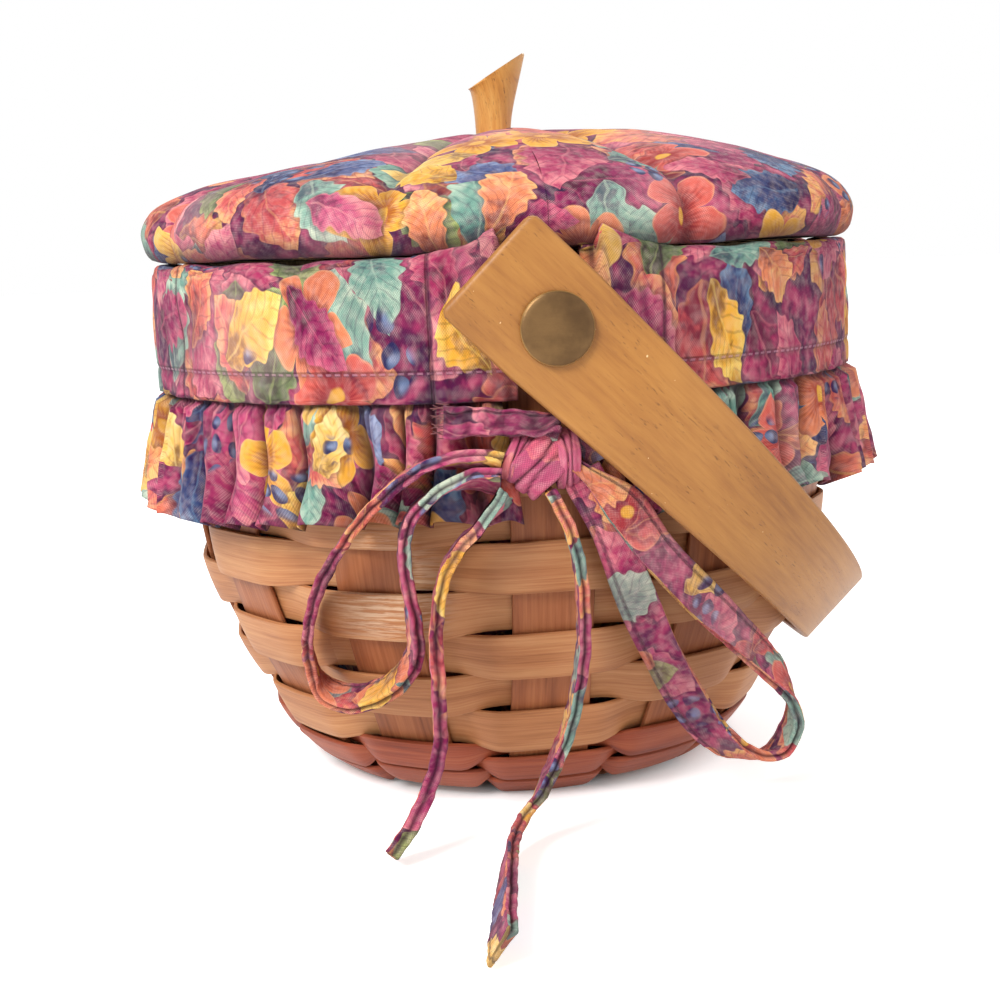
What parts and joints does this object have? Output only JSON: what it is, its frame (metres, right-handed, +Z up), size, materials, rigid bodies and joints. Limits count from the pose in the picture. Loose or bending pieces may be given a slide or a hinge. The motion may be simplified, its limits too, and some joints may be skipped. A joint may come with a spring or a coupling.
{
  "type": "lidded basket",
  "caption": "Round woven splint basket with a bentwood swing handle, a gathered and tied fabric liner, and a padded lift-off lid with a wooden stem.",
  "frame": {"origin": "centre of the base on the surface it stands on", "axes": "+Z up through the lid stem, -Y towards the front bow and rivet, +X towards the side on which the handle rests"},
  "size_m": [0.1916, 0.2512, 0.1799],
  "materials": {
    "weaver_wood": "satin",
    "base_weaver_wood": "satin",
    "splint_wood": "satin",
    "rim_wood": "satin",
    "handle_wood": "varnished satin",
    "stem_wood": "raw",
    "spacer_wood": "raw",
    "board_wood": "raw",
    "rivet_brass": "aged",
    "steel": "plain",
    "print_fabric": "printed cotton",
    "tie_fabric": "printed cotton"
  },
  "bodies": {
    "basket": {"base_weaver_1": "base_weaver_wood", "base_weaver_2": "base_weaver_wood", "base_weaver_3": "base_weaver_wood", "base_weaver_4": "base_weaver_wood", "wall_weaver_1": "weaver_wood", "wall_weaver_2": "weaver_wood", "wall_weaver_3": "weaver_wood", "wall_weaver_4": "weaver_wood", "wall_weaver_5": "weaver_wood", "wall_weaver_6": "weaver_wood", "wall_weaver_7": "weaver_wood", "wall_weaver_8": "weaver_wood", "outer_rim_band": "rim_wood", "inner_rim_band": "rim_wood", "splint_1": "splint_wood", "splint_2": "splint_wood", "splint_3": "splint_wood", "splint_4": "splint_wood", "splint_5": "splint_wood", "splint_6": "splint_wood", "rim_tack_1": "steel", "rim_tack_2": "steel", "rim_tack_3": "steel", "rim_tack_4": "steel", "front_rivet": "rivet_brass", "front_burr": "rivet_brass", "front_spacer": "spacer_wood", "rear_rivet": "rivet_brass", "rear_burr": "rivet_brass", "rear_spacer": "spacer_wood", "liner_bag": "print_fabric", "right_cuff": "print_fabric", "left_cuff": "print_fabric", "right_ruffle": "print_fabric", "left_ruffle": "print_fabric", "front_left_lead": "tie_fabric", "front_right_lead": "tie_fabric", "front_left_loop": "tie_fabric", "front_right_loop": "tie_fabric", "front_left_tail": "tie_fabric", "front_right_tail": "tie_fabric", "front_knot": "tie_fabric", "rear_left_lead": "tie_fabric", "rear_right_lead": "tie_fabric", "rear_left_loop": "tie_fabric", "rear_right_loop": "tie_fabric", "rear_left_tail": "tie_fabric", "rear_right_tail": "tie_fabric", "rear_knot": "tie_fabric"},
    "handle": {"handle": "handle_wood"},
    "lid": {"lid_board": "board_wood", "locating_ring": "board_wood", "stem_washer": "steel", "lid_pad": "print_fabric", "stem": "stem_wood", "stem_screw": "steel"}
  },
  "joints": [
    {"name": "handle_swing", "type": "hinge", "parent": "basket", "child": "handle", "pos_m": [0, 0, 0.1145], "axis": [0, -1, 0], "range_deg": [0, 270.4]},
    {"name": "lid_lift", "type": "slide", "parent": "basket", "child": "lid", "axis": [0, 0, 1], "range_m": [0, 0.1]}
  ]
}
